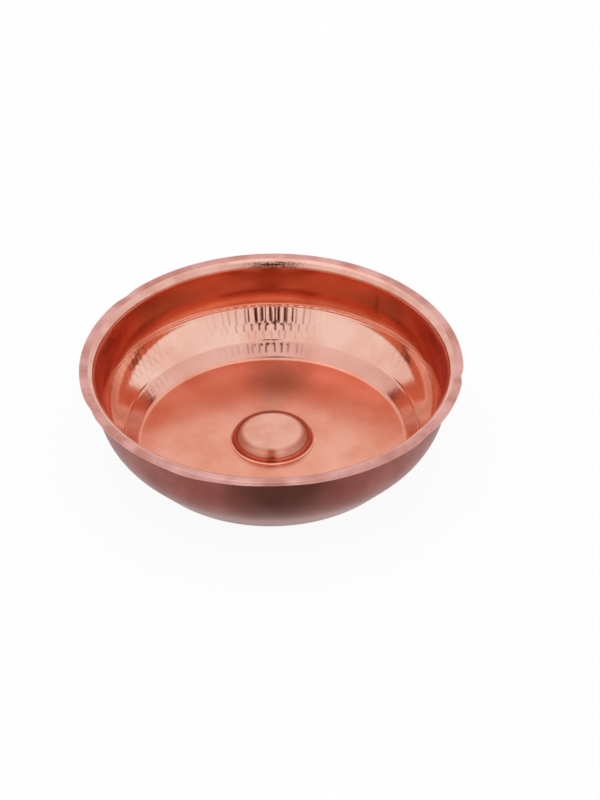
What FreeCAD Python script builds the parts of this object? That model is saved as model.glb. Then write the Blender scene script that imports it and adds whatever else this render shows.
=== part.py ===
import FreeCAD, Part
import math
import os

import Sketcher

# Hammered copper bath bowl: one sheet raised into a round bowl, its edge rolled
# over a wire, and a pressed boss soldered to the middle of its floor.
# Millimetres. Z is up, and the origin is the centre of the flat underside.

# Name, value and meaning of each size. Angles are in degrees.
SIZES = [
    ("rim_diameter", 200.0, "outside of the rolled rim"),
    ("overall_height", 52.0, "flat underside to the top of the rim"),
    ("rim_width", 8.1, "inside of the wall to the outside of the rim, across the top"),
    ("sheet_thickness", 0.8, "copper sheet of the bowl"),
    ("rim_slope", 13.0, "fall of the rim's top towards the wall, from the level"),
    ("lip_radius", 4.5, "rounding from the top of the rim down into the wall"),
    ("wall_draft", 3.0, "lean of the upper wall from the vertical"),
    ("shoulder_radius", 34.0, "inside radius of the curve between the wall and the flare"),
    ("shoulder_height", 33.0, "where that curve meets the wall, above the underside"),
    ("side_width", 30.5, "flat part of the floor to the outside of the rim, across"),
    ("corner_radius", 2.0, "inside radius of the crease round the floor"),
    ("wire_diameter", 1.2, "wire inside the rolled rim"),
    ("fold_clearance", 0.02, "gap between the wire and the sheet rolled over it"),
    ("fold_turn", 270.0, "how far the sheet is rolled round the wire"),
    ("boss_diameter", 44.4, "outside of the boss's foot"),
    ("boss_height", 5.6, "top of the boss above the floor"),
    ("boss_sheet", 0.5, "copper sheet of the boss"),
    ("boss_seat", 0.3, "level rim of the foot, outside the hollow curve"),
    ("boss_foot_radius", 0.6, "hollow curve above the foot"),
    ("boss_side_lean", 13.0, "lean of the boss's side from the vertical"),
    ("boss_crown_radius", 5.2, "rounding from the side to the top"),
]
size = {name: value for name, value, meaning in SIZES}

# A round is drawn as a few equal flats, like the rings that a hammer leaves, and
# creases and hidden rounds as a single flat.
SHOULDER_RINGS = 5
LIP_FLATS = 2
CROWN_FLATS = 2
WIRE_FLATS = 4
DEGREES_PER_ROLL_FLAT = 45

COPPER_DENSITY = 8.96e-6
WIRE_DENSITY = 7.85e-6

# Formulas of the sizes that more than one piece is built from. The channel's flats,
# not its corners, clear the wire.
HALF_ROLL_FLAT = DEGREES_PER_ROLL_FLAT / 2
CHANNEL_RADIUS = "($wire_diameter / 2 / cos(%g) + $fold_clearance)" % HALF_ROLL_FLAT
FOLD_RADIUS = "(" + CHANNEL_RADIUS + " + $sheet_thickness)"
FOLD_REACH = FOLD_RADIUS + " * cos($rim_slope)"
FOLD_ACROSS = "$rim_diameter / 2 - " + FOLD_REACH
FOLD_UP = "$overall_height - " + FOLD_REACH

Z_AXIS = FreeCAD.Vector(0, 0, 1)

doc = FreeCAD.newDocument("bath_bowl")
table = doc.addObject("Spreadsheet::Sheet", "sizes")
for row, (name, value, meaning) in enumerate(SIZES, start=1):
    table.set("A%d" % row, name)
    table.set("B%d" % row, str(value))
    table.set("C%d" % row, meaning)
    table.setAlias("B%d" % row, name)
doc.recompute()


def point(across, up):
    return FreeCAD.Vector(across, up, 0)


def polar(centre, radius, degrees):
    turn = math.radians(degrees)
    return centre + point(radius * math.cos(turn), radius * math.sin(turn))


class Profile:
    """A section in the XZ plane: X is the distance from the axis, Y the height.

    Each piece is drawn at its place, then held by constraints whose values
    are formulas of the sizes.
    """

    def __init__(self, body, name):
        planes = [o for o in body.Origin.OriginFeatures if o.Role == "XZ_Plane"]
        self.sketch = body.newObject("Sketcher::SketchObject", name)
        self.sketch.AttachmentSupport = (planes[0], [""])
        self.sketch.MapMode = "FlatFace"
        self.lines = []

    def hold(self, *constraint):
        return self.sketch.addConstraint(Sketcher.Constraint(*constraint))

    def bind(self, formula, *constraint):
        """Add a dimension and give it a formula of the sizes."""
        index = self.hold(*constraint)
        self.sketch.setExpression("Constraints[%d]" % index, formula.replace("$", "sizes."))

    def line(self, start, end):
        """A line that starts where the last one ended."""
        line = self.sketch.addGeometry(Part.LineSegment(start, end), False)
        if self.lines:
            self.hold("Coincident", self.lines[-1], 2, line, 1)
        self.lines.append(line)
        return line

    def close(self):
        self.hold("Coincident", self.lines[-1], 2, self.lines[0], 1)

    def circle(self, centre, radius):
        """A helper circle that flats keep their corners on."""
        return self.sketch.addGeometry(Part.Circle(centre, Z_AXIS, radius), True)

    def flats(self, circle, first, last, count=1):
        """Equal flats round a circle, from the angle first to the angle last."""
        round_off = self.sketch.Geometry[circle]
        turns = [first + (last - first) * step / count for step in range(count + 1)]
        corners = [polar(round_off.Center, round_off.Radius, turn) for turn in turns]
        flats = [self.line(start, end) for start, end in zip(corners, corners[1:])]
        for flat in flats[1:]:
            self.hold("PointOnObject", flat, 1, circle)
            self.hold("Equal", flats[0], flat)
        return flats

    def smooth(self, line, end, circle):
        """The line's end lies on the circle, and the line touches it there."""
        self.hold("Tangent", line, end, circle)

    def across(self, formula, geometry, end):
        drawn = self.sketch.getPoint(geometry, end).x
        self.bind(formula, "DistanceX", -1, 1, geometry, end, drawn)

    def up(self, formula, geometry, end):
        drawn = self.sketch.getPoint(geometry, end).y
        self.bind(formula, "DistanceY", -1, 1, geometry, end, drawn)

    def radius(self, formula, circle):
        self.bind(formula, "Radius", circle, self.sketch.Geometry[circle].Radius)

    def angle(self, formula, line, degrees):
        self.bind(formula, "Angle", line, math.radians(degrees))

    def same_centre(self, one, other):
        self.hold("Coincident", one, 3, other, 3)

    def on_axis(self, geometry, end):
        self.hold("PointOnObject", geometry, end, -2)


def new_body(name):
    body = doc.addObject("PartDesign::Body", name)
    body.Label = name
    return body


def revolve(body, profile):
    """Spin a section once round the bowl's axis."""
    feature = body.newObject("PartDesign::Revolution", profile.sketch.Name + "_turned")
    feature.Profile = profile.sketch
    feature.ReferenceAxis = (profile.sketch, ["V_Axis"])
    feature.Angle = 360
    doc.recompute()


def find_shoulder(crease_at, lip_at):
    """Centre of the shoulder's curve, and the lean of the flare that touches it.

    The curve touches the wall at a given height. The flare is the line that
    touches both this curve and the crease round the floor.
    """
    draft = math.radians(size["wall_draft"])
    radius = size["shoulder_radius"]
    up = size["shoulder_height"] + radius * math.sin(draft)
    wall_reach = lip_at.x * math.cos(draft) - lip_at.y * math.sin(draft) - size["lip_radius"]
    across = (wall_reach - radius + up * math.sin(draft)) / math.cos(draft)
    centre = point(across, up)
    apart = crease_at - centre
    spread = math.acos((radius - size["corner_radius"]) / apart.Length)
    return centre, math.degrees(-spread - math.atan2(apart.y, apart.x))


def channel_radius():
    wire_reach = size["wire_diameter"] / 2 / math.cos(math.radians(HALF_ROLL_FLAT))
    return wire_reach + size["fold_clearance"]


def fold_centre():
    """Centre of the wire. The corners of the sheet's flats, turned with the rim's slope,
    reach the outside and the top."""
    reach = (channel_radius() + size["sheet_thickness"]) * math.cos(math.radians(size["rim_slope"]))
    return point(size["rim_diameter"] / 2 - reach, size["overall_height"] - reach)


def find_lip(roll_at, roll_radius):
    """Centre of the rounding. The rim's sloping top touches both it and the roll."""
    slope = math.radians(size["rim_slope"])
    radius = size["lip_radius"]
    across = size["rim_diameter"] / 2 - size["rim_width"] + radius
    up = roll_at.y + (roll_radius - radius) / math.cos(slope) + (across - roll_at.x) * math.tan(slope)
    return point(across, up)


def make_bowl():
    """The raised sheet: floor, flare, shoulder, wall and the edge rolled over the wire."""
    sheet = size["sheet_thickness"]
    slope = size["rim_slope"]
    draft = size["wall_draft"]
    crease_radius = size["corner_radius"]
    shoulder_radius = size["shoulder_radius"]
    lip_radius = size["lip_radius"]
    roll_radius = channel_radius() + sheet
    roll_end = 90 + slope - size["fold_turn"]
    roll_flats = round(size["fold_turn"] / DEGREES_PER_ROLL_FLAT)

    crease_at = point(size["rim_diameter"] / 2 - size["side_width"], sheet + crease_radius)
    roll_at = fold_centre()
    lip_at = find_lip(roll_at, roll_radius)
    shoulder_at, flare = find_shoulder(crease_at, lip_at)

    body = new_body("bowl_shell")
    outline = Profile(body, "bowl_section")
    crease = outline.circle(crease_at, crease_radius)
    shoulder = outline.circle(shoulder_at, shoulder_radius)
    lip = outline.circle(lip_at, lip_radius)
    roll = outline.circle(roll_at, roll_radius)
    channel = outline.circle(roll_at, channel_radius())
    lip_under = outline.circle(lip_at, lip_radius - sheet)
    shoulder_out = outline.circle(shoulder_at, shoulder_radius + sheet)
    crease_out = outline.circle(crease_at, crease_radius + sheet)

    # Inner face, from the axis out to the top of the rim.
    floor = outline.line(point(0, sheet), point(crease_at.x, sheet))
    outline.flats(crease, -90, -flare)
    flare_in = outline.line(
        polar(crease_at, crease_radius, -flare), polar(shoulder_at, shoulder_radius, -flare))
    outline.flats(shoulder, -flare, -draft, SHOULDER_RINGS)
    wall_in = outline.line(
        polar(shoulder_at, shoulder_radius, -draft), polar(lip_at, lip_radius, 180 - draft))
    outline.flats(lip, 180 - draft, 90 + slope, LIP_FLATS)
    rim_top = outline.line(
        polar(lip_at, lip_radius, 90 + slope), polar(roll_at, roll_radius, 90 + slope))

    # The sheet goes out over the wire, down and back under it.
    outline.flats(roll, 90 + slope, roll_end, roll_flats)
    raw_edge = outline.line(
        polar(roll_at, roll_radius, roll_end), polar(roll_at, channel_radius(), roll_end))
    outline.flats(channel, roll_end, 90 + slope, roll_flats)
    rim_under = outline.line(
        polar(roll_at, channel_radius(), 90 + slope), polar(lip_at, lip_radius - sheet, 90 + slope))

    # Outer face, one sheet away, back down to the axis.
    outline.flats(lip_under, 90 + slope, 180 - draft)
    wall_out = outline.line(
        polar(lip_at, lip_radius - sheet, 180 - draft),
        polar(shoulder_at, shoulder_radius + sheet, -draft))
    outline.flats(shoulder_out, -draft, -flare, SHOULDER_RINGS)
    flare_out = outline.line(
        polar(shoulder_at, shoulder_radius + sheet, -flare),
        polar(crease_at, crease_radius + sheet, -flare))
    outline.flats(crease_out, -flare, -90)
    underside = outline.line(point(crease_at.x, 0), point(0, 0))
    outline.line(point(0, 0), point(0, sheet))
    outline.close()

    outline.hold("Horizontal", floor)
    outline.on_axis(floor, 1)
    outline.up("$sheet_thickness", floor, 1)
    outline.across("$rim_diameter / 2 - $side_width", floor, 2)
    outline.radius("$corner_radius", crease)
    outline.smooth(floor, 2, crease)
    outline.smooth(flare_in, 1, crease)
    outline.smooth(flare_in, 2, shoulder)
    outline.radius("$shoulder_radius", shoulder)
    outline.smooth(wall_in, 1, shoulder)
    outline.up("$shoulder_height", wall_in, 1)
    outline.angle("90 - $wall_draft", wall_in, 90 - draft)
    outline.smooth(wall_in, 2, lip)
    outline.radius("$lip_radius", lip)
    outline.across("$rim_diameter / 2 - $rim_width + $lip_radius", lip, 3)
    outline.smooth(rim_top, 1, lip)
    outline.angle("$rim_slope", rim_top, slope)
    outline.smooth(rim_top, 2, roll)
    outline.radius(FOLD_RADIUS, roll)
    outline.across(FOLD_ACROSS, roll, 3)
    outline.up(FOLD_UP, roll, 3)
    outline.hold("PointOnObject", raw_edge, 1, roll)
    outline.hold("PointOnObject", raw_edge, 2, channel)
    outline.hold("PointOnObject", roll, 3, raw_edge)
    outline.angle("270 + $rim_slope - $fold_turn", raw_edge, 270 + slope - size["fold_turn"])
    outline.same_centre(channel, roll)
    outline.radius(CHANNEL_RADIUS, channel)
    outline.smooth(rim_under, 1, channel)
    outline.smooth(rim_under, 2, lip_under)
    outline.same_centre(lip_under, lip)
    outline.radius("$lip_radius - $sheet_thickness", lip_under)
    outline.smooth(wall_out, 1, lip_under)
    outline.smooth(wall_out, 2, shoulder_out)
    outline.same_centre(shoulder_out, shoulder)
    outline.radius("$shoulder_radius + $sheet_thickness", shoulder_out)
    outline.smooth(flare_out, 1, shoulder_out)
    outline.smooth(flare_out, 2, crease_out)
    outline.same_centre(crease_out, crease)
    outline.radius("$corner_radius + $sheet_thickness", crease_out)
    outline.smooth(underside, 1, crease_out)
    outline.hold("Horizontal", underside)
    outline.on_axis(underside, 2)
    revolve(body, outline)
    return body


def make_wire():
    """The wire ring that the edge of the sheet is rolled over."""
    radius = size["wire_diameter"] / 2
    centre = fold_centre()
    body = new_body("rim_wire")
    section = Profile(body, "wire_section")
    ring = section.circle(centre, radius)
    flats = section.flats(ring, 90, -270, WIRE_FLATS)
    section.close()
    section.hold("PointOnObject", flats[0], 1, ring)
    section.hold("Vertical", ring, 3, flats[0], 1)
    section.radius("$wire_diameter / 2", ring)
    section.across(FOLD_ACROSS, ring, 3)
    section.up(FOLD_UP, ring, 3)
    revolve(body, section)
    return body


def make_boss():
    """The pressed boss: flat top, rounded crown, leaning side and a flat foot."""
    sheet = size["boss_sheet"]
    floor = size["sheet_thickness"]
    top = floor + size["boss_height"]
    lean = size["boss_side_lean"]
    foot_radius = size["boss_foot_radius"]
    crown_radius = size["boss_crown_radius"]
    edge = size["boss_diameter"] / 2

    foot_at = point(edge - size["boss_seat"], floor + sheet + foot_radius)
    # The side touches the crown and the hollow above the foot.
    drop = top - crown_radius - foot_at.y
    slope = math.radians(lean)
    crown_at = point(
        foot_at.x - (foot_radius + crown_radius) / math.cos(slope) - drop * math.tan(slope),
        top - crown_radius)
    # Where the inside of the leaning side comes down to the floor.
    side_at = polar(crown_at, crown_radius - sheet, lean)
    seat_in = side_at.x + (side_at.y - floor) * math.tan(slope)

    body = new_body("boss")
    outline = Profile(body, "boss_section")
    crown = outline.circle(crown_at, crown_radius)
    foot = outline.circle(foot_at, foot_radius)
    crown_in = outline.circle(crown_at, crown_radius - sheet)

    face = outline.line(point(0, top), point(crown_at.x, top))
    outline.flats(crown, 90, lean, CROWN_FLATS)
    side = outline.line(
        polar(crown_at, crown_radius, lean), polar(foot_at, foot_radius, 180 + lean))
    outline.flats(foot, 180 + lean, 270)
    foot_top = outline.line(point(foot_at.x, floor + sheet), point(edge, floor + sheet))
    foot_edge = outline.line(point(edge, floor + sheet), point(edge, floor))
    foot_seat = outline.line(point(edge, floor), point(seat_in, floor))
    side_in = outline.line(point(seat_in, floor), side_at)
    outline.flats(crown_in, lean, 90)
    face_in = outline.line(point(crown_at.x, top - sheet), point(0, top - sheet))
    outline.line(point(0, top - sheet), point(0, top))
    outline.close()

    outline.on_axis(face, 1)
    outline.up("$sheet_thickness + $boss_height", face, 1)
    outline.hold("Horizontal", face)
    outline.smooth(face, 2, crown)
    outline.radius("$boss_crown_radius", crown)
    outline.smooth(side, 1, crown)
    outline.angle("$boss_side_lean - 90", side, lean - 90)
    outline.smooth(side, 2, foot)
    outline.radius("$boss_foot_radius", foot)
    outline.across("$boss_diameter / 2 - $boss_seat", foot, 3)
    outline.smooth(foot_top, 1, foot)
    outline.hold("Horizontal", foot_top)
    outline.across("$boss_diameter / 2", foot_top, 2)
    outline.up("$sheet_thickness + $boss_sheet", foot_top, 2)
    outline.hold("Vertical", foot_edge)
    outline.hold("Horizontal", foot_seat)
    outline.up("$sheet_thickness", foot_seat, 2)
    outline.hold("Parallel", side_in, side)
    outline.smooth(side_in, 2, crown_in)
    outline.same_centre(crown_in, crown)
    outline.radius("$boss_crown_radius - $boss_sheet", crown_in)
    outline.smooth(face_in, 1, crown_in)
    outline.hold("Horizontal", face_in)
    outline.on_axis(face_in, 2)
    revolve(body, outline)
    return body


bodies = [make_bowl(), make_wire(), make_boss()]
doc.recompute()

for item in doc.Objects:
    if "Invalid" in item.State or "Error" in item.State:
        raise SystemExit("failed: %s %s" % (item.Name, item.State))
for body in bodies:
    if body.Shape.isNull() or not body.Shape.isValid():
        raise SystemExit("bad shape: " + body.Label)

os.makedirs("parts", exist_ok=True)
for body in bodies:
    body.Shape.exportStep(os.path.join("parts", body.Label + ".step"))
    density = WIRE_DENSITY if body.Label == "rim_wire" else COPPER_DENSITY
    print("%s: %.0f mm3, %.3f kg" % (body.Label, body.Shape.Volume, body.Shape.Volume * density))
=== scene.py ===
import math
import random

import bpy
import numpy as np
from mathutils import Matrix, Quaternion, Vector


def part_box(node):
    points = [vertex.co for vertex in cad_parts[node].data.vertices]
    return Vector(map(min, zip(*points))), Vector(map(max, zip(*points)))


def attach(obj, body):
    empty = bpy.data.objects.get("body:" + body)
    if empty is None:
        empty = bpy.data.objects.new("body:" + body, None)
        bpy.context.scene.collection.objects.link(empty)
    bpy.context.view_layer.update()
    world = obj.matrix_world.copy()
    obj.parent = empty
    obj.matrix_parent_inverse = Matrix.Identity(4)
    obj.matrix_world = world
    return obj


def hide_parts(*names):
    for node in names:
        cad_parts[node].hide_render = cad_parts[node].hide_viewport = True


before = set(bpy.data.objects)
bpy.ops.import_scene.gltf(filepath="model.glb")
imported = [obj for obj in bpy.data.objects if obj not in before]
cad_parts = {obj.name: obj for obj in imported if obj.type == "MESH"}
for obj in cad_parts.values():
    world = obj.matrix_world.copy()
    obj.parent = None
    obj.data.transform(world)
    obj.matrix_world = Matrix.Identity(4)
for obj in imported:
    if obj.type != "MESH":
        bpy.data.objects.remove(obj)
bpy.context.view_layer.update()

# Bowl shell. One sheet of copper, spun and raised into a low round bowl. Two lines are
# scribed round its side, the slope below them is hammered in four rows of upright marks,
# and the edge is rolled outwards over a wire.
MM = 0.001
shell_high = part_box("bowl_shell")[1]
rim_radius = shell_high.x / MM
rim_height = shell_high.z / MM

# Sizes in mm and angles in degrees. The radii are those of the face that is seen, and the channel
# is the hollow for the wire.
sheet = 0.8
rim_width = 8.1
rim_slope = 13.0
lip_radius = 4.5
wall_draft = 3.0
shoulder_radius = 34.0
shoulder_height = 35.3
side_width = 30.5
crease_radius = 3.0
channel_radius = 0.67
roll_radius = channel_radius + sheet
roll_start = 90 + rim_slope
roll_end = roll_start - 270

# Points round a plain ring, and round a ring of the hammered slope.
ROUND = 400
FINE = 3 * ROUND


def polar(centre, radius, degrees):
    """The point at a radius and an angle from a centre."""
    turn = math.radians(degrees)
    return centre[0] + radius * math.cos(turn), centre[1] + radius * math.sin(turn)


def arc(centre, radius, first, last, steps):
    """Points round a circle, from the angle first to the angle last."""
    return [polar(centre, radius, first + (last - first) * step / steps) for step in range(steps + 1)]


def straight(start, end, steps):
    """Points along a line, without its first one."""
    return [
        (start[0] + (end[0] - start[0]) * step / steps, start[1] + (end[1] - start[1]) * step / steps)
        for step in range(1, steps + 1)]


# The section's lines and arcs, each tangent to the next: crease, flare, shoulder, wall, lip, roll.
draft = math.radians(wall_draft)
slope = math.radians(rim_slope)
crease_at = (rim_radius - side_width, sheet + crease_radius)
roll_at = (rim_radius - roll_radius, rim_height - roll_radius)
lip_across = rim_radius - rim_width + lip_radius
lip_at = (
    lip_across,
    roll_at[1] + (roll_radius - lip_radius) / math.cos(slope) + (lip_across - roll_at[0]) * math.tan(slope))
shoulder_up = shoulder_height + shoulder_radius * math.sin(draft)
wall_reach = lip_at[0] * math.cos(draft) - lip_at[1] * math.sin(draft) - lip_radius
shoulder_at = ((wall_reach - shoulder_radius + shoulder_up * math.sin(draft)) / math.cos(draft), shoulder_up)
apart = (crease_at[0] - shoulder_at[0], crease_at[1] - shoulder_at[1])
spread = math.acos((shoulder_radius - crease_radius) / math.hypot(*apart))
flare = math.degrees(-spread - math.atan2(apart[1], apart[0]))

# The rows of hammer marks: heights, depth and how dark their strokes are, the share of a step that a row is
# moved round, and whether its marks run out at the top into the scribed line.
ROWS = [
    {"top": 24.2, "bottom": 15.4, "depth": 0.16, "stain": 1.2, "shift": 0.0, "open": True},
    {"top": 16.6, "bottom": 12.6, "depth": 0.13, "stain": 1.15, "shift": 0.5, "open": False},
    {"top": 13.4, "bottom": 9.4, "depth": 0.05, "stain": 0.3, "shift": 0.0, "open": False},
    {"top": 8.2, "bottom": 3.4, "depth": 0.14, "stain": 0.8, "shift": 0.5, "open": False},
]
MARKS = 120
MARK_STRAY = 0.5
HAMMER_RADIUS = 13.7

# The share of a mark's half length that is level, before its ends rise.
MARK_LEVEL = 0.3

# Scribed lines, each a height and a depth.
LOW_LINE = 8.4
LINES = [(24.8, 0.12), (23.7, 0.12), (LOW_LINE, 0.08)]
LINE_HALF_WIDTH = 0.28

# Where the blows fell hardest, and where the marks' strokes are drawn dark, each as a place and a reach
# in degrees and a share. Elsewhere the blows were light. The front is at 270 degrees.
HEAVY = [(90.0, 19.0, 0.96), (146.0, 12.0, 0.12)]
LIGHT = 0.04
DARK_STROKE_PLACES = [(89.0, 10.5, 1.6), (146.0, 12.0, 0.3), (106.0, 8.0, 0.2), (35.0, 6.0, 0.12)]

# A dark stroke in a hammer mark bows to one side, hooks back at its top and fades at both
# ends. The hook and the fade are plain numbers: the higher, the nearer to the ends.
STROKE_HALF_WIDTH = 0.5
STROKE_BOW = 0.9
STROKE_HOOK = 4
STROKE_FADE = 8

# Dark patches: a painted dark reflection on the lip at the back, painted shade in the crease at the
# back and a dark mark down the wall. Each is a place and a reach in degrees, the heights that it lies
# between, and how dark it is.
PATCHES = [
    (88.5, 9.0, 47.3, 50.6, 1.0),
    (88.0, 7.5, 1.3, 2.3, 0.8),
    (50.8, 0.5, 31.0, 44.0, 0.8),
]


def around(turns, places):
    """The sum of smooth humps round the bowl, each a place and a reach in degrees and a height."""
    total = 0 * turns
    for place, reach, height in places:
        off = (np.degrees(turns) - place + 180) % 360 - 180
        total += height * np.exp(-(off / reach) ** 2)
    return total


hammer = random.Random(11)
for row in ROWS:
    row["marks"] = [
        {
            "turn": 2 * math.pi * (mark + row["shift"] + hammer.uniform(-0.13, 0.13)) / MARKS,
            "depth": row["depth"] * hammer.uniform(0.8, 1.15),
            "top": row["top"] - (0 if row["open"] else hammer.uniform(0, MARK_STRAY)),
            "bottom": row["bottom"] + hammer.uniform(-0.2, 0.2),
            "stain": row["stain"] * hammer.uniform(0.65, 1.0),
            "bow": hammer.uniform(-1, 1),
        } for mark in range(MARKS)]


def mark_depth(turns, across, up):
    """How far the hammer has pushed the inner face back, round one ring of points."""
    deepest = np.zeros_like(turns)
    for row in ROWS:
        if not row["bottom"] - MARK_STRAY < up < row["top"] + MARK_STRAY:
            continue
        for mark in row["marks"]:
            middle = (mark["top"] + mark["bottom"]) / 2
            half = (mark["top"] - mark["bottom"]) / 2
            off = (turns - mark["turn"] + math.pi) % (2 * math.pi) - math.pi
            end = max(0.0, abs(up - middle) / half - MARK_LEVEL) / (1 - MARK_LEVEL)
            if row["open"] and up > middle:
                end = 0.0 if up < mark["top"] else 1.0
            depth = mark["depth"] * (1 - end * end)
            deepest = np.maximum(deepest, depth - (across * off) ** 2 / (2 * HAMMER_RADIUS))
    return deepest


def marks_and_painted_shade(turns, across, up):
    """How dark the hammer marks' strokes, a dark mark on the wall, the painted shade in the crease and the
    painted reflection on the lip are, from 0 to 1, round one ring of points.
    """
    dark = np.zeros_like(turns)
    for row in ROWS:
        if not row["bottom"] < up < row["top"]:
            continue
        for mark in row["marks"]:
            rise = (up - mark["bottom"]) / (mark["top"] - mark["bottom"])
            if not 0 < rise < 1:
                continue
            off = (turns - mark["turn"] + math.pi) % (2 * math.pi) - math.pi
            bow = mark["bow"] * STROKE_BOW * (1 - rise ** STROKE_HOOK)
            fade = min(1.0, STROKE_FADE * rise * (1 - rise))
            stroke = np.exp(-((across * off - bow) / STROKE_HALF_WIDTH) ** 2) * fade
            dark = np.maximum(dark, mark["stain"] * stroke)
    dark *= around(turns, DARK_STROKE_PLACES)
    # Painted shade in the crease and a painted dark reflection on the lip, both at the back, and a dark mark
    # on the wall.
    for place, reach, low, high, share in PATCHES:
        if low < up < high:
            dark = np.maximum(dark, around(turns, [(place, reach, share)]))
    return np.clip(dark, 0, 1)


def line_depth(up):
    """Depth of the scribed lines at a height."""
    return sum(max(0.0, deep * (1 - abs(up - at) / LINE_HALF_WIDTH)) for at, deep in LINES)


def ring_turns(count):
    """The angles of a ring's points."""
    return 2 * math.pi * np.arange(count) / count


def ring_points(across, up, count):
    """A ring of points, where the radius and height may change round it."""
    turns = ring_turns(count)
    return np.column_stack((across * np.cos(turns), across * np.sin(turns), up + 0 * turns))


def strip(one, other):
    """Faces from one ring of points to the next, where one may have three times as many points."""
    if len(one) == len(other):
        return [(one[k - 1], one[k], other[k], other[k - 1]) for k in range(len(one))]
    faces = []
    flipped = len(one) > len(other)
    few, many = (other, one) if flipped else (one, other)
    for k in range(len(few)):
        left, right = few[k], few[(k + 1) % len(few)]
        edge = [many[(3 * k + step) % len(many)] for step in range(4)]
        fan = [(left, right, edge[2], edge[1]), (left, edge[1], edge[0]), (right, edge[3], edge[2])]
        faces += [face[::-1] for face in fan] if flipped else fan
    return faces


# Edges sharper than this stay crisp in the smooth shading.
sharp_edge = math.radians(50)


def turned_piece(name, rings, finishes, materials, first_pole=None, last_pole=None, marks_and_painted_shade_levels=None):
    """A turned piece from rings of points in mm, with a finish for each strip between them.

    A pole closes the piece at the axis. The levels say how dark the marks and the painted shade are at each
    point.
    """
    numbers = []
    count = 0
    for points in rings:
        numbers.append(list(range(count, count + len(points))))
        count += len(points)
    vertices = [tuple(p) for points in rings for p in points * MM]
    faces = []
    slots = []
    for index in range(len(rings) - 1):
        made = strip(numbers[index], numbers[index + 1])
        faces += made
        slots += [finishes[index]] * len(made)
    for pole, ring, finish, reverse in (
            (first_pole, numbers[0], finishes[0], True), (last_pole, numbers[-1], finishes[-1], False)):
        if pole is None:
            continue
        vertices.append(tuple(c * MM for c in pole))
        fan = [(ring[k - 1], ring[k], len(vertices) - 1) for k in range(len(ring))]
        faces += [face[::-1] for face in fan] if reverse else fan
        slots += [finish] * len(fan)
    mesh = bpy.data.meshes.new(name)
    mesh.from_pydata(vertices, [], faces)
    mesh.validate()
    mesh.update()
    for material in materials:
        mesh.materials.append(material)
    mesh.polygons.foreach_set("material_index", slots)
    # The dark marks, painted shade and painted reflections go to the mesh as one value at each point.
    if marks_and_painted_shade_levels:
        dark = np.concatenate(marks_and_painted_shade_levels + [np.zeros(len(vertices) - count)])
        mesh.attributes.new("marks_and_painted_shade", "FLOAT", "POINT").data.foreach_set("value", dark)
    mesh.shade_smooth()
    mesh.set_sharp_from_angle(angle=sharp_edge)
    piece = bpy.data.objects.new(name, mesh)
    bpy.context.scene.collection.objects.link(piece)
    return piece


FLOOR, LOW, SIDE, WALL, LIP, RIM, OUTSIDE = range(7)
path = []


def go_on(points, finish, count=ROUND):
    """Go on along the section. The strip that ends at a point has its finish."""
    for across, up in points:
        path.append((across, up, finish, count))


# The inner face, out from the middle. The rings on the flat are shares of the floor's edge.
FLOOR_RINGS = (0.02, 0.15, 0.27, 0.34, 0.5, 0.66, 0.82, 0.94, 1.0)
UNDERSIDE_RINGS = (0.8, 0.55, 0.3, 0.08)
floor_edge = crease_at[0]
go_on([(floor_edge * share, sheet) for share in FLOOR_RINGS], FLOOR)
go_on(arc(crease_at, crease_radius, -90, -flare, 6)[1:], FLOOR)
flare_top = polar(shoulder_at, shoulder_radius, -flare)
flare_foot = polar(crease_at, crease_radius, -flare)
flare_line = flare_foot[0] + (LOW_LINE - flare_foot[1]) * (flare_top[0] - flare_foot[0]) / (
    flare_top[1] - flare_foot[1])
go_on(straight(flare_foot, (flare_line, LOW_LINE), 14), LOW, FINE)
go_on(straight((flare_line, LOW_LINE), flare_top, 12), SIDE, FINE)


def shoulder_angle(up):
    """The angle on the shoulder's arc at a height."""
    return math.degrees(math.asin((up - shoulder_at[1]) / shoulder_radius))


band_height = 26.2
band_top = shoulder_angle(band_height)
go_on(arc(shoulder_at, shoulder_radius, -flare, band_top, 28)[1:], SIDE, FINE)
go_on(arc(shoulder_at, shoulder_radius, band_top, -wall_draft, 8)[1:], WALL)
go_on(straight(path[-1][:2], polar(lip_at, lip_radius, 180 - wall_draft), 4), WALL)
go_on(arc(lip_at, lip_radius, 180 - wall_draft, roll_start, 10)[1:], LIP)
go_on(straight(path[-1][:2], polar(roll_at, roll_radius, roll_start), 2), RIM)
go_on(arc(roll_at, roll_radius, roll_start, roll_end, 12)[1:], RIM)

# The sheet's cut edge, then back along the channel, the outer face and the underside.
go_on([polar(roll_at, channel_radius, roll_end)], RIM)
go_on(arc(roll_at, channel_radius, roll_end, roll_start, 6)[1:], OUTSIDE)
go_on([polar(lip_at, lip_radius - sheet, roll_start)], OUTSIDE)
go_on(arc(lip_at, lip_radius - sheet, roll_start, 180 - wall_draft, 6)[1:], OUTSIDE)
go_on(straight(path[-1][:2], polar(shoulder_at, shoulder_radius + sheet, -wall_draft), 2), OUTSIDE)
go_on(arc(shoulder_at, shoulder_radius + sheet, -wall_draft, -flare, 8)[1:], OUTSIDE)
go_on(straight(path[-1][:2], polar(crease_at, crease_radius + sheet, -flare), 1), OUTSIDE)
go_on(arc(crease_at, crease_radius + sheet, -flare, -90, 4)[1:], OUTSIDE)
go_on([(floor_edge * share, 0) for share in UNDERSIDE_RINGS], OUTSIDE)

# Knocks that push the rim in, and sags where the roll hangs lower, or higher where it is below
# zero: a place and a reach in degrees, and a depth.
KNOCKS = [(141.4, 3.0, 0.9), (201.3, 3.0, 0.8), (352.6, 2.5, 0.9), (322.6, 4.0, 0.7)]
SAGS = [(244.4, 6.5, 1.0), (271.0, 8.0, -0.6), (312.0, 9.0, 0.3), (100.0, 12.0, 0.3)]


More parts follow.
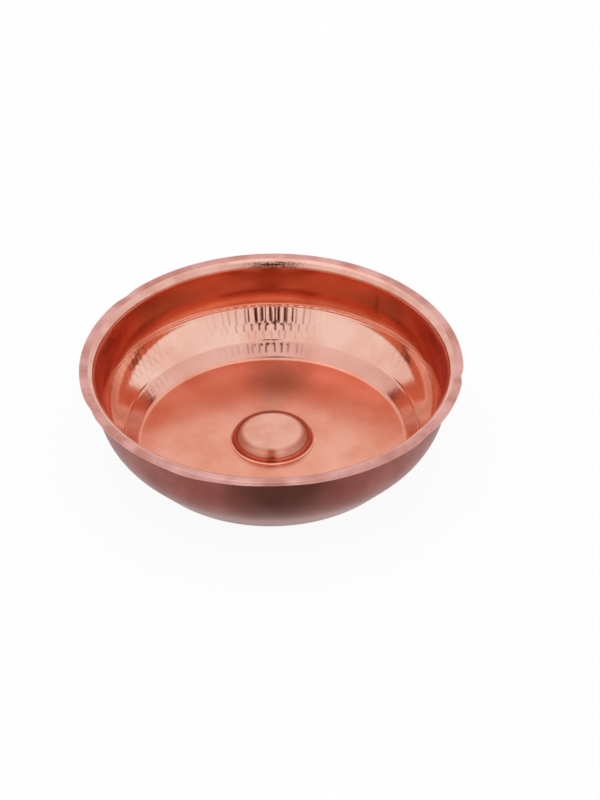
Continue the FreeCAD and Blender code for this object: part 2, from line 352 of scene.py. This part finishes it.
def bend_rim(points, across, up):
    """Push the rim in at the knocks and let its roll sag, more towards the outside."""
    share = min(1.0, max(0.0, (across - rim_radius + rim_width) / rim_width))
    if share == 0:
        return points
    turns = ring_turns(len(points))
    low = min(1.0, max(0.0, (rim_height - up) / (2 * roll_radius)))
    inwards = 1 - share * around(turns, KNOCKS) / across
    return np.column_stack((
        points[:, 0] * inwards, points[:, 1] * inwards, points[:, 2] - share * low * around(turns, SAGS)))


rings = []
marks_and_painted_shade_levels = []
for across, up, finish, count in path:
    marks_and_painted_shade_levels.append(marks_and_painted_shade(ring_turns(count), across, up) if finish != OUTSIDE else np.zeros(count))
    if count == FINE:
        lean = -flare if up < flare_top[1] else shoulder_angle(up)
        blows = LIGHT + around(ring_turns(FINE), HEAVY)
        push = blows * mark_depth(ring_turns(FINE), across, up) + line_depth(up)
        turn = math.radians(lean)
        rings.append(ring_points(across + push * math.cos(turn), up + push * math.sin(turn), FINE))
    else:
        rings.append(bend_rim(ring_points(across, up, ROUND), across, up))
finishes = [step[2] for step in path[1:]]


def linear(hex_colour):
    """An sRGB colour such as "F3BCAA" as the linear values that a shader takes."""
    values = [int(hex_colour[k:k + 2], 16) / 255 for k in (0, 2, 4)]
    return [v / 12.92 if v <= 0.04045 else ((v + 0.055) / 1.055) ** 2.4 for v in values] + [1.0]


def every(size_mm):
    """The scale of a pattern whose features are that many mm apart."""
    return 1 / (size_mm * MM)


def add(material, kind, settings=None, links=None):
    """A shader node. Settings go to its properties or sockets, and links join its sockets to others."""
    node = material.node_tree.nodes.new(kind)
    for name, value in (settings or {}).items():
        if isinstance(name, int) or name in node.inputs:
            node.inputs[name].default_value = value
        else:
            setattr(node, name, value)
    for name, socket in (links or {}).items():
        material.node_tree.links.new(socket, node.inputs[name])
    return node


def new_material(name):
    """A material whose nodes are still to come."""
    material = bpy.data.materials.new(name)
    material.use_nodes = True
    material.node_tree.nodes.clear()
    return material


def close_material(material, shader):
    """Join the shader to the material's surface."""
    add(material, "ShaderNodeOutputMaterial", None, {"Surface": shader.outputs[0]})
    return material


# Where one patch or speck parts from the next, on a noise that runs from 0 to 1, and how much of the
# copper the painted dark patch and the marks with painted shade cover.
PATCH_EDGES = (0.38, 0.62)
SPECK_EDGES = (0.42, 0.52)
PAINTED_SHADE_COVER = 0.85
MARKS_AND_PAINTED_SHADE_COVER = 0.9


def copper(
        name, colours, patch_mm, roughness, grain_mm, grain_height_mm,
        lathe_lines=(1.0, 0.0), stretch=1, stain=None, marks_and_painted_shade_look=None):
    """Bare copper, whose colour drifts in soft patches, with a fine grain and lines from the lathe.

    The lathe's lines have a spacing and a height, and stretch flattens the grain into level
    streaks. The painted patch is one darker patch painted in as a dark reflection: its colour, its middle,
    and where it starts and ends to fade. The dark marks and painted shade lie where the mesh says:
    their colour, the size of their specks, and the share that stays between them.
    """
    material = new_material(name)
    place = add(material, "ShaderNodeTexCoord").outputs["Object"]
    patches = add(
        material, "ShaderNodeTexNoise", {"Scale": every(patch_mm), "Detail": 4.0}, {"Vector": place})
    tone = add(material, "ShaderNodeValToRGB", None, {"Fac": patches.outputs["Fac"]})
    for element, edge, hex_colour in zip(tone.color_ramp.elements, PATCH_EDGES, colours):
        element.position = edge
        element.color = linear(hex_colour)
    colour = tone.outputs["Color"]
    # One darker patch painted into the colour, as a painted dark reflection.
    if stain:
        dark, middle, full_mm, gone_mm = stain
        reach = add(material, "ShaderNodeVectorMath", {"operation": "DISTANCE"}, {0: place})
        reach.inputs[1].default_value = [c * MM for c in middle]
        share = add(
            material, "ShaderNodeMapRange",
            {"From Min": full_mm * MM, "From Max": gone_mm * MM, "To Min": PAINTED_SHADE_COVER, "To Max": 0.0,
             "interpolation_type": "SMOOTHSTEP"}, {"Value": reach.outputs["Value"]})
        darker = add(material, "ShaderNodeMix", {"data_type": "RGBA"}, {0: share.outputs[0], 6: colour})
        darker.inputs[7].default_value = linear(dark)
        colour = darker.outputs[2]
    # Dark marks, painted shade and painted reflections, where the mesh says, broken into specks.
    if marks_and_painted_shade_look:
        marks_and_painted_shade_colour, speck_mm, between = marks_and_painted_shade_look
        where = add(material, "ShaderNodeAttribute", {"attribute_name": "marks_and_painted_shade"})
        specks = add(
            material, "ShaderNodeTexNoise", {"Scale": every(speck_mm), "Detail": 3.0}, {"Vector": place})
        broken = add(
            material, "ShaderNodeMapRange",
            {"From Min": SPECK_EDGES[0], "From Max": SPECK_EDGES[1], "To Min": between,
             "To Max": MARKS_AND_PAINTED_SHADE_COVER},
            {"Value": specks.outputs["Fac"]})
        share = add(
            material, "ShaderNodeMath", {"operation": "MULTIPLY"},
            {0: where.outputs["Fac"], 1: broken.outputs[0]})
        darker = add(material, "ShaderNodeMix", {"data_type": "RGBA"}, {0: share.outputs[0], 6: colour})
        darker.inputs[7].default_value = linear(marks_and_painted_shade_colour)
        colour = darker.outputs[2]
    stretched = add(material, "ShaderNodeMapping", {"Scale": (1, 1, stretch)}, {"Vector": place})
    grain = add(
        material, "ShaderNodeTexNoise", {"Scale": every(grain_mm), "Detail": 3.0},
        {"Vector": stretched.outputs[0]})
    level = add(material, "ShaderNodeVectorMath", {"operation": "MULTIPLY"}, {0: place})
    level.inputs[1].default_value = (1, 1, 0)
    away = add(material, "ShaderNodeVectorMath", {"operation": "LENGTH"}, {0: level.outputs[0]})
    line_mm, line_height_mm = lathe_lines
    lines = add(
        material, "ShaderNodeTexNoise", {"noise_dimensions": "1D", "Scale": every(line_mm), "Detail": 2.0},
        {"W": away.outputs["Value"]})
    grain_bump = add(
        material, "ShaderNodeBump", {"Distance": grain_height_mm * MM, "Strength": 1.0},
        {"Height": grain.outputs["Fac"]})
    bump = add(
        material, "ShaderNodeBump", {"Distance": line_height_mm * MM, "Strength": 1.0},
        {"Height": lines.outputs["Fac"], "Normal": grain_bump.outputs[0]})
    rough = add(
        material, "ShaderNodeMapRange", {"To Min": roughness[0], "To Max": roughness[1]},
        {"Value": grain.outputs["Fac"]})
    shader = add(
        material, "ShaderNodeBsdfPrincipled", {"Metallic": 1.0},
        {"Base Color": colour, "Roughness": rough.outputs[0], "Normal": bump.outputs[0]})
    return close_material(material, shader)


# Floor: spun on a lathe and left satin. It gives soft reflections, faint rings and a painted brown
# reflection at the back, with painted shade in the crease behind it. The lathe's lines and the grain are
# drawn coarser than real ones, so that they show.
floor_copper = copper(
    "spun_satin_copper", ("E89A80", "F2AE98"), 24, (0.26, 0.31), 2.5, 0.002, lathe_lines=(1.1, 0.0015),
    stain=("A87464", (4, 52, 0.8), 3, 26), marks_and_painted_shade_look=("5A2E24", 3, 0.8))

# Foot of the slope: hammered and polished, a little pinker than what is above it.
low_copper = copper(
    "hammered_pink_copper", ("E0A292", "EAB2A2"), 24, (0.1, 0.14), 4, 0.001, marks_and_painted_shade_look=("4E281F", 3, 0.8))

# Slope and shoulder: hammered bright, so that the white room shows in them as one pale band.
side_copper = copper(
    "hammered_bright_copper", ("ECB09E", "F5C6B4"), 26, (0.09, 0.12), 4, 0.001,
    marks_and_painted_shade_look=("3E1E18", 3, 0.8))

# Wall: burnished round and round, a deep red mirror with faint level streaks.
wall_copper = copper(
    "burnished_red_copper", ("CE7252", "DE8866"), 30, (0.13, 0.17), 3, 0.002, stretch=6,
    marks_and_painted_shade_look=("6A2A1C", 3, 0.8))

# Lip: rubbed glossy and pale by hands. At the back a painted dark reflection lies on it, broken into fine
# specks.
lip_copper = copper(
    "glossy_copper_lip", ("DFA594", "EAB9AA"), 12, (0.14, 0.2), 0.8, 0.003, marks_and_painted_shade_look=("3A1D17", 1.1, 0.15))

# Rim: worn satin and finely scratched, with a colour that drifts from pink to brown.
rim_copper = copper("worn_satin_copper", ("C6877C", "E2ABA5"), 16, (0.26, 0.34), 0.9, 0.006)

# Outside: planished and left dull, brown with level streaks. A painted dark reflection makes it darkest
# at the front under the rim. The streaks are drawn coarser than real ones, so that they show.
outside_copper = copper(
    "dull_brown_copper", ("8E5048", "A2655C"), 26, (0.3, 0.42), 3, 0.016,
    lathe_lines=(1.6, 0.006), stretch=3, stain=("43241D", (4, -94, 42), 8, 44))

shell = turned_piece(
    "copper_bowl", rings, finishes,
    (floor_copper, low_copper, side_copper, wall_copper, lip_copper, rim_copper, outside_copper),
    first_pole=(0, 0, sheet), last_pole=(0, 0, 0), marks_and_painted_shade_levels=marks_and_painted_shade_levels)
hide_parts("bowl_shell")
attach(shell, "root")

# Boss. A thin pressed dome of copper, soldered down by its flat foot in the middle of the
# floor, where fingers push up from below when the bowl is held.
boss_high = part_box("boss")[1]
boss_radius = boss_high.x / MM
boss_top = boss_high.z / MM

# Sizes in mm. The crown's curve bends over a little inside the side, and a small fold leads into
# the foot.
boss_sheet = 0.5
boss_seat = 0.3
boss_foot_radius = 0.6
BOSS_ROUND = 240
boss_disc = 14.5
boss_side = boss_radius - boss_seat - boss_foot_radius
foot_top = sheet + boss_sheet
foot_start = boss_radius - boss_seat
foot_bevel = 0.1
fold_across = 0.2
fold_up = 0.08
crown_ease = 0.4


def crown(inset, foot_up, steps=14):
    """The crown's curve from the disc's edge down to a height, for a face that lies inside by inset."""
    top = (boss_disc - inset / 2, boss_top - inset)
    bend = (boss_side - crown_ease - inset, boss_top - inset)
    foot = (boss_side - inset, foot_up)
    corners = (top, bend, foot)
    curve = []
    for step in range(steps + 1):
        t = step / steps
        shares = ((1 - t) ** 2, 2 * t * (1 - t), t * t)
        curve.append(tuple(
            sum(share * corner[axis] for share, corner in zip(shares, corners)) for axis in (0, 1)))
    return curve


boss_path = [(boss_disc * share, boss_top) for share in (0.1, 0.4, 0.7, 0.9)]
boss_path += crown(0.0, sheet + (boss_sheet + 0.5 * boss_foot_radius))
boss_path += [(foot_start - fold_across, foot_top + fold_up), (foot_start, foot_top)]
boss_path += [(boss_radius - foot_bevel, foot_top), (boss_radius, foot_top - foot_bevel)]
boss_path += [(boss_radius, sheet)]
boss_path += crown(boss_sheet, sheet)[::-1]
boss_path += [(boss_disc * share, boss_top - boss_sheet) for share in (0.6, 0.1)]

# Pressed and polished copper: a satin top, and a painted dark red reflection round the crown.
boss_copper = copper(
    "pressed_satin_copper", ("E4A18B", "EDB19D"), 12, (0.17, 0.21), 2, 0.002, marks_and_painted_shade_look=("9C3E20", 3, 0.9))


# Where the crown's painted reflection is lighter, and one painted dark reflection at the front: a place
# and a reach in degrees and a share. The painted reflection takes some mm to set in from the disc's edge.
CROWN_PAINTED_REFLECTION_LESS = [(272.0, 55.0, 0.6)]
CROWN_PAINTED_DARK_REFLECTION = [(268.0, 8.0, 0.7)]
PAINTED_REFLECTION_FADE = 2.6
crown_end = boss_side + 0.05


def boss_painted_reflection(across):
    """How dark the painted reflection is round the crown, at a distance from the middle."""
    turns = ring_turns(BOSS_ROUND)
    if not boss_disc <= across <= crown_end:
        return 0 * turns
    share = min(1.0, (across - boss_disc) / PAINTED_REFLECTION_FADE)
    return np.clip(share * (1 - around(turns, CROWN_PAINTED_REFLECTION_LESS) + around(turns, CROWN_PAINTED_DARK_REFLECTION)), 0, 1)


boss = turned_piece(
    "copper_boss", [ring_points(across, up, BOSS_ROUND) for across, up in boss_path],
    [0] * (len(boss_path) - 1), (boss_copper,),
    first_pole=(0, 0, boss_top), last_pole=(0, 0, boss_top - boss_sheet),
    marks_and_painted_shade_levels=[boss_painted_reflection(across) for across, up in boss_path])
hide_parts("boss")
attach(boss, "root")

# Rim wire. A ring of drawn iron wire that stiffens the edge. The copper is rolled over it,
# so it hardly shows. Drawing leaves it a plain grey with darker patches of scale.
wire_iron = new_material("drawn_iron_wire")
wire_place = add(wire_iron, "ShaderNodeTexCoord").outputs["Object"]
wire_stain = add(
    wire_iron, "ShaderNodeTexNoise", {"Scale": every(4), "Detail": 3.0}, {"Vector": wire_place})
wire_tone = add(wire_iron, "ShaderNodeValToRGB", None, {"Fac": wire_stain.outputs["Fac"]})
wire_tone.color_ramp.elements[0].color = linear("6E6862")
wire_tone.color_ramp.elements[1].color = linear("9A948C")
wire_shader = add(
    wire_iron, "ShaderNodeBsdfPrincipled", {"Metallic": 1.0, "Roughness": 0.4},
    {"Base Color": wire_tone.outputs["Color"]})
close_material(wire_iron, wire_shader)
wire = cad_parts["rim_wire"]
wire.data.materials.clear()
wire.data.materials.append(wire_iron)

# Table and light. A plain white table, an even white room and a broad soft lamp overhead. A
# dark panel stands behind the camera, as a dark side of the room, and shows in the copper.
# Distances here and in the next section are in metres.
table_half = 6.0
table_below = 0.0001
table_whiteness = 0.93
room_strength = 0.95
table_mesh = bpy.data.meshes.new("table")
table_mesh.from_pydata(
    [(-table_half, -table_half, 0), (table_half, -table_half, 0), (table_half, table_half, 0),
     (-table_half, table_half, 0)], [], [(0, 1, 2, 3)])
table = bpy.data.objects.new("table", table_mesh)
bpy.context.scene.collection.objects.link(table)

# Matt white paint. The camera and the copper see it as even white, and it keeps the bowl's shadow.
table_paint = new_material("white_table")
table_shader = add(
    table_paint, "ShaderNodeBsdfPrincipled", {"Base Color": linear("F8F8F8"), "Roughness": 0.6})
table_white = add(table_paint, "ShaderNodeEmission", {"Strength": 1.0})
table_white.inputs["Color"].default_value = (1, 1, 1, 1)
ray = add(table_paint, "ShaderNodeLightPath")
seen = add(
    table_paint, "ShaderNodeMath", {"operation": "MAXIMUM"},
    {0: ray.outputs["Is Camera Ray"], 1: ray.outputs["Is Glossy Ray"]})
seen = add(
    table_paint, "ShaderNodeMath", {"operation": "MAXIMUM"},
    {0: seen.outputs[0], 1: ray.outputs["Is Transmission Ray"]})
whiter = add(
    table_paint, "ShaderNodeMath", {"operation": "MULTIPLY", 1: table_whiteness},
    {0: seen.outputs[0]})
table_mix = add(
    table_paint, "ShaderNodeMixShader", None,
    {0: whiter.outputs[0], 1: table_shader.outputs[0], 2: table_white.outputs[0]})
close_material(table_paint, table_mix)
table_mesh.materials.append(table_paint)
table.location.z = -table_below

panel_away = 1.68
panel_half_width = 0.17
panel_low = math.radians(13)
panel_high = math.radians(44)
panel_corners = [
    (side * panel_half_width, -panel_away * math.cos(rise), panel_away * math.sin(rise))
    for side, rise in ((-1, panel_low), (1, panel_low), (1, panel_high), (-1, panel_high))]
panel_mesh = bpy.data.meshes.new("dark_panel")
panel_mesh.from_pydata(panel_corners, [], [(0, 1, 2, 3)])
panel = bpy.data.objects.new("dark_panel", panel_mesh)
bpy.context.scene.collection.objects.link(panel)
panel_cloth = new_material("dark_cloth")
panel_shader = add(
    panel_cloth, "ShaderNodeBsdfPrincipled", {"Base Color": linear("6A3E30"), "Roughness": 0.9})
close_material(panel_cloth, panel_shader)
panel_mesh.materials.append(panel_cloth)
panel.visible_camera = False

world = bpy.data.worlds.new("white_room")
bpy.context.scene.world = world
world.use_nodes = True
world.node_tree.nodes["Background"].inputs["Color"].default_value = (1, 1, 1, 1)
world.node_tree.nodes["Background"].inputs["Strength"].default_value = room_strength

lamp_data = bpy.data.lights.new("overhead_lamp", "AREA")
lamp_data.shape = "DISK"
lamp_data.size = 1.6
lamp_data.energy = 1.5
lamp = bpy.data.objects.new("overhead_lamp", lamp_data)
lamp.location = (-0.3, 0.1, 1.7)
lamp.rotation_mode = "QUATERNION"
lamp.rotation_quaternion = (-lamp.location).to_track_quat("-Z", "Y")
bpy.context.scene.collection.objects.link(lamp)

# Camera. It looks down on the middle of the rim, which stands a little left of and above the
# picture's centre, and it is turned slightly about its own axis.
view_elevation = math.radians(36.8)
camera_away = 1.5
camera_roll = math.radians(-0.9)
camera_data = bpy.data.cameras.new("camera")
camera_data.lens = 129.8
camera_data.sensor_width = 36.0
camera_data.clip_start = 0.05
camera_data.clip_end = 50.0
camera = bpy.data.objects.new("camera", camera_data)
camera_target = Vector((0, 0, rim_height * MM))
camera_forward = Vector((0, math.cos(view_elevation), -math.sin(view_elevation)))
picture_size = (600, 800)
target_pixel = (271.2, 361.9)
pixels_per_unit = camera_data.lens / camera_data.sensor_width * picture_size[1]
towards_target = Vector((
    (target_pixel[0] - picture_size[0] / 2) / pixels_per_unit,
    (picture_size[1] / 2 - target_pixel[1]) / pixels_per_unit, -1.0))
camera.rotation_mode = "QUATERNION"
camera.rotation_quaternion = (
    camera_forward.to_track_quat("-Z", "Y")
    @ Quaternion((0, 0, 1), camera_roll)
    @ towards_target.rotation_difference(Vector((0, 0, -1))))
camera.location = camera_target - camera_forward * camera_away
bpy.context.scene.collection.objects.link(camera)
bpy.context.scene.camera = camera
bpy.context.scene.view_settings.view_transform = "Standard"
bpy.context.scene.cycles.glossy_bounces = 12
